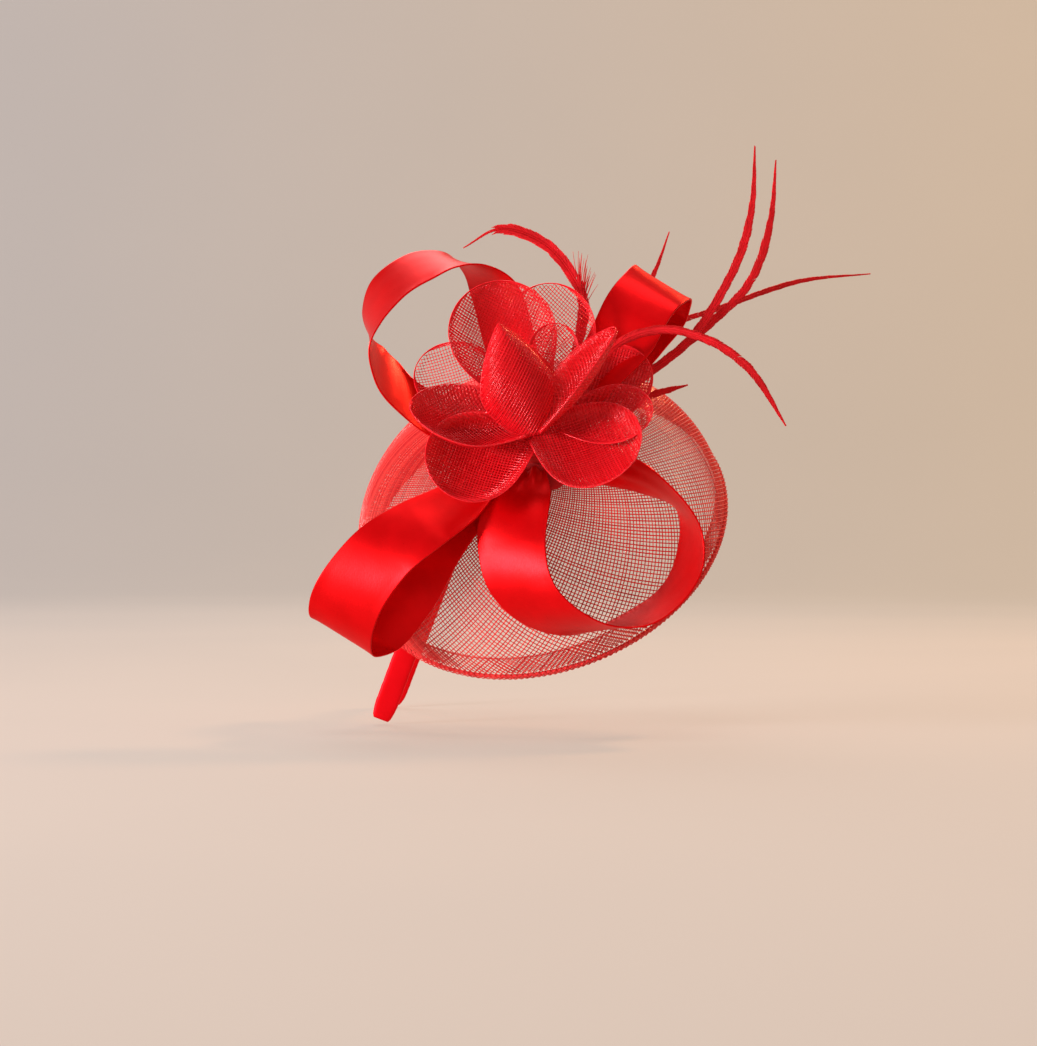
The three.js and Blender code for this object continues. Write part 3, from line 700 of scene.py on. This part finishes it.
def add_crin(shape, petal, layer, shift, lining=False):
    """One layer of crossed strands over a petal. A lining is closer, and darker: its dark tone is painted
    shade between the crin layers. The warp strands' lighter tones are painted glints.
    """
    pitch = CRIN_PITCH * math.sqrt(2)
    for direction in (-1, 1):
        first = -petal.width
        for start in np.arange(first + shift, petal.length + petal.width, pitch):
            start = start + draw.normal(0, 0.06)
            for across, along, half in strand_runs(petal, direction, start):
                s = np.clip(across / np.maximum(half, 0.01), -1, 1)
                line = petal.at(s, along / petal.length, layer) + petal.face * 0.12 * direction
                count = max(3, int(len(line) * 0.5 * 1.41 / 2.6) + 2)
                line = resample(line, count)
                # painted glints: warp strands take lighter tones than weft strands
                width, low, high = (CRIN_WARP, 0.65, 1.0) if direction < 0 else (CRIN_WEFT, 0.30, 0.75)
                # painted shade: a lining's strands take dark tones, for the shade between the crin layers
                if lining:
                    width, low, high = LINING_WIDTH, 0.0, 0.45
                shape.tube(line, petal.face, width * draw.uniform(0.9, 1.1), tone=draw.uniform(low, high))


def add_petal_edge(shape, petal):
    """The doubled crin's fold: a few strands packed together round the outline."""
    v = np.concatenate([np.linspace(0, 0.9, 22), 0.9 + 0.1 * np.sin(np.linspace(0, math.pi / 2, 9))[1:]])
    for inset, width in ((1.0, 0.45), (0.975, 0.34), (0.95, 0.34), (0.925, 0.30), (0.90, 0.26)):
        left = petal.at(np.full(len(v), -inset), v * (0.985 + 0.015 * inset))
        right = petal.at(np.full(len(v), inset), v * (0.985 + 0.015 * inset))
        line = np.vstack([left, right[::-1][1:]])
        shape.tube(line, petal.face, width, tone=0.7)


def make_flower():
    for name, row in PETALS.items():
        petal = Petal(*row)
        shape = Shape()
        for layer in range(petal.layers):
            place = (layer - (petal.layers - 1) / 2) * LAYER_GAP
            # the middle layer of a three-layer petal is a lining, darkened with painted shade
            add_crin(shape, petal, place, layer * CRIN_PITCH * 0.4, petal.layers == 3 and layer == 1)
        add_petal_edge(shape, petal)
        made = shape.piece(f"crin_petal_{name}", PETAL_CRIN)
        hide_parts(f"petal_{name}")


# ------------------------------------------------------------------ feathers
FEATHERS = {
    "tall_front": [(38, -97, -10), (65, -95, 7), (84, -92, 22), (100, -88, 46), (108, -86, 64),
                   (112, -85, 83), (113, -85, 107)],
    "tall_back": [(38, -90, -13), (67, -88, 8), (96, -84, 32), (109, -81, 45), (116, -79, 58), (121, -78, 78),
                  (123, -77, 102)],
    "drooping": [(36, -105, -1), (52, -108, 19), (72, -111, 25), (91, -114, 20), (102, -115, 13),
                 (110, -116, 5), (123, -115, -16)],
    "left": [(30, -93, -1), (38, -90, 31), (38, -89, 40), (35, -88, 48), (22, -86, 64), (2, -84, 71),
             (-14, -82, 63)],
    "far_short": [(34, -82, -10), (55, -60, 25), (72, -42, 57), (79, -35, 76)],
    "far_long": [(40, -80, -8), (76, -50, 30), (102, -35, 41), (142, -10, 56), (177, 5, 61)],
    "stub": [(43, -84, -12), (68, -74, -1), (85, -68, 4)],
}
VIEW_SIDE = np.array([0.0, -1.0, 0.0])
BARB_STEP = 0.32
VANE_REACH = 1.85               # half the width of a vane
VANE_SCALE = {"left": 1.35, "far_short": 0.65, "far_long": 0.65, "stub": 0.8}
DOWN = {"left": (0.22, 0.42, 22)}   # loose barbs: where along the feather, and how many
BARE_TIP = {"left": 0.84}           # beyond this the vane is narrow


def make_feather(name, points):
    points = np.array(points, float) + [0, 0, LIFT]
    dense = smooth_curve(points, np.linspace(0, 1, 400))
    length = float(np.sum(np.linalg.norm(np.diff(dense, axis=0), axis=1)))
    quill = resample(dense, int(length / 2) + 2)
    shape = Shape()
    taper = np.linspace(1.0, 0.25, len(quill))
    shape.tube(quill, VIEW_SIDE, 0.9 * taper, 0.8 * taper, sides=8)
    ahead = unit(np.gradient(dense, axis=0))
    side = unit(np.cross(ahead, VIEW_SIDE))
    up = np.cross(side, ahead)
    place = np.concatenate([[0], np.cumsum(np.linalg.norm(np.diff(dense, axis=0), axis=1))])
    for direction in (-1, 1):
        for at in np.arange(4.0, length - 0.5, BARB_STEP):
            i = int(np.clip(np.searchsorted(place, at + draw.uniform(-0.2, 0.2)), 0, len(dense) - 1))
            share = at / length
            taper_here = min(1, 0.5 + 2.2 * share, 3.2 * (1 - share) + 0.12)
            reach = VANE_REACH * VANE_SCALE.get(name, 1.0) * taper_here
            reach = reach * (0.4 if share > BARE_TIP.get(name, 1.0) else 1.0)
            reach = reach * (1 + 0.06 * math.sin(at * 0.7 + direction)) * draw.uniform(0.90, 1.08)
            run = reach * draw.uniform(2.0, 2.6)
            lean = draw.normal(0, 0.14)
            t = np.linspace(0, 1, 4)[:, None]
            follow = dense[np.minimum(i + (t[:, 0] * run / length * 399).astype(int), len(dense) - 1)]
            line = follow + direction * side[i] * reach * np.sin(t * 1.4) + up[i] * (lean * t ** 2)
            if share > 0.97:
                line = dense[i] + ahead[i] * run * t + direction * side[i] * reach * t
            shape.tube(line, up[i], np.array([0.55, 0.55, 0.42, 0.14]), np.array([0.16, 0.14, 0.10, 0.05]))
    if name in DOWN:
        first, last, count = DOWN[name]
        for start in np.linspace(first, last, count):
            i = int(start * 399)
            run, spread = draw.uniform(11, 18), draw.uniform(2.0, 6.5)
            t = np.linspace(0, 1, 7)[:, None]
            outward = side[i] * spread * t ** 1.4
            line = dense[i] + ahead[i] * run * t + outward + up[i] * draw.normal(0, 0.8) * t
            shape.tube(line, up[i], np.linspace(0.52, 0.14, 7))
    made = shape.piece(f"plume_{name}", FEATHER)
    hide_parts(f"feather_{name}")


# ------------------------------------------------------------------ gathers
# Where each starts and ends above the cap, and its radius.
GATHERS = {"ribbon_gather": (3.5, 11.0, 7.3), "flower_gather": (11.6, 17.0, 5.3)}
THREAD_PITCH, THREAD_WIDTH = 0.62, 0.66


def make_gathers():
    """Thread wound round the ribbon ends, and round the petals' ends."""
    out = unit(np.cross(TRIM_AXIS, [1, 0, 0]))
    over = np.cross(TRIM_AXIS, out)
    for name, (low, high, radius) in GATHERS.items():
        shape = Shape()
        turns = int((high - low) / THREAD_PITCH)
        angle = np.linspace(0, turns * 2 * math.pi, turns * 36)
        height = np.linspace(low + 0.3, high - 0.3, len(angle)) + 0.12 * np.sin(angle * 0.37)
        swell = radius - 0.35 + 0.25 * np.sin(angle * 2 + 1) * np.sin(height * 2)
        spoke = np.outer(np.cos(angle) * swell, out) + np.outer(np.sin(angle) * swell, over)
        line = TRIM_BASE + np.outer(height, TRIM_AXIS) + spoke
        shape.tube(line, TRIM_AXIS, THREAD_WIDTH, sides=6)
        height = np.linspace(low, high, 9)
        core = TRIM_BASE + np.outer(height, TRIM_AXIS)
        bulge = 2 * (radius - 0.7) * (1 - 0.10 * np.abs(np.linspace(-1, 1, 9)) ** 3)
        shape.tube(core, out, bulge, sides=24)
        made = shape.piece(f"{name}_thread", THREAD)
        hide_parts(name)


# ------------------------------------------------------------------ stage
def area_light(name, place, target, size, energy, color):
    data = bpy.data.lights.new(name, "AREA")
    data.shape, data.size, data.energy, data.color = "DISK", size, energy, color
    made = bpy.data.objects.new(name, data)
    made.location = place
    aim = np.array(target) - np.array(place)
    made.rotation_euler = Vector(aim).to_track_quat("-Z", "Y").to_euler()
    bpy.context.scene.collection.objects.link(made)


FLOOR_RADIUS, FLOOR_BEND, WALL_HEIGHT, FLOOR_GAP = 1.9, 1.0, 2.4, 0.0005     # metres


def make_stage():
    """A round floor whose edge curves up into a wall, then the soft light round it. The floor and wall glow
    with painted light, which runs from cool on the left to warm on the right.
    """
    floor_z = cad_box[0][2] - FLOOR_GAP
    curve = np.linspace(0, math.pi / 2, 17)
    radius = [0.4, 1.0, 1.8, *(FLOOR_RADIUS + FLOOR_BEND * np.sin(curve)), FLOOR_RADIUS + FLOOR_BEND]
    height = [0, 0, 0, *(FLOOR_BEND * (1 - np.cos(curve))), WALL_HEIGHT]
    sides = 96
    points = [(0, 0, floor_z)]
    for r, h in zip(radius, height):
        for k in range(sides):
            turn = 2 * math.pi * k / sides
            points.append((r * math.cos(turn), r * math.sin(turn), floor_z + h))
    faces = [(0, 1 + k, 1 + (k + 1) % sides) for k in range(sides)]
    for ring in range(len(radius) - 1):
        low, high = 1 + ring * sides, 1 + (ring + 1) * sides
        faces += [(low + k, high + k, high + (k + 1) % sides, low + (k + 1) % sides) for k in range(sides)]
    mesh = bpy.data.meshes.new("floor")
    mesh.from_pydata(points, [], faces)
    mesh.polygons.foreach_set("use_smooth", [True] * len(faces))
    made, tree, shader = new_material("paper", Roughness=0.9, Specular_IOR_Level=0.1, Emission_Strength=0.66)
    shade = ramp(tree, noise(tree, 3, 2), (0.23, 0.215, 0.21), (0.25, 0.23, 0.22))
    tree.links.new(shade, shader.inputs["Base Color"])
    where = tree.nodes.new("ShaderNodeTexCoord")
    split = tree.nodes.new("ShaderNodeSeparateXYZ")
    tree.links.new(where.outputs["Object"], split.inputs["Vector"])
    across = tree.nodes.new("ShaderNodeMapRange")
    across.inputs["From Min"].default_value = -1.3
    across.inputs["From Max"].default_value = 1.3
    tree.links.new(split.outputs["X"], across.inputs["Value"])
    # painted light: the glow's colour runs from cool on the left to warm on the right
    painted_glow = ramp(tree, across.outputs["Result"], (0.60, 0.54, 0.52), (0.76, 0.56, 0.38), 0.1, 0.9)
    tree.links.new(painted_glow, shader.inputs["Emission Color"])
    mesh.materials.append(made)
    floor = bpy.data.objects.new("floor", mesh)
    bpy.context.scene.collection.objects.link(floor)

    world = bpy.data.worlds.new("studio")
    bpy.context.scene.world = world
    world.use_nodes = True
    world.node_tree.nodes["Background"].inputs["Color"].default_value = (0.86, 0.83, 0.81, 1)
    world.node_tree.nodes["Background"].inputs["Strength"].default_value = 0.25
    middle = (0.02, -0.08, -0.02)
    area_light("key", (-1.15, -0.72, 0.14), middle, 0.42, 20, (1.0, 0.93, 0.96))
    area_light("top", (-0.1, -0.3, 1.3), middle, 0.7, 4, (1.0, 0.93, 0.88))
    area_light("warm", (0.55, 0.45, 0.95), middle, 0.20, 8, (1.0, 0.50, 0.22))
    area_light("back", (-0.3, 1.1, 1.2), middle, 1.0, 9, (1.0, 0.92, 0.88))


def make_camera():
    data = bpy.data.cameras.new("camera")
    data.lens, data.sensor_width = LENS, SENSOR
    data.clip_start = 0.05
    made = bpy.data.objects.new("camera", data)
    made.location = CAMERA_PLACE
    made.rotation_euler = (math.pi / 2, 0, 0)
    bpy.context.scene.collection.objects.link(made)
    bpy.context.scene.camera = made
    bpy.context.scene.view_settings.view_transform = "Standard"


make_camera()
make_stage()
make_cap()
felt_disc("felt_disc_outer", "trim_felt_disc", FELT_RADIUS, WIRE_GAP, WIRE_GAP + FELT_THICKNESS)
felt_disc("felt_disc_lining", "trim_lining_disc", FELT_RADIUS - 4, -NET_THICKNESS - WIRE_GAP - FELT_THICKNESS,
          -NET_THICKNESS - WIRE_GAP)
make_band()
make_gathers()
make_ribbons()
make_flower()
for feather_name, feather_points in FEATHERS.items():
    make_feather(feather_name, feather_points)
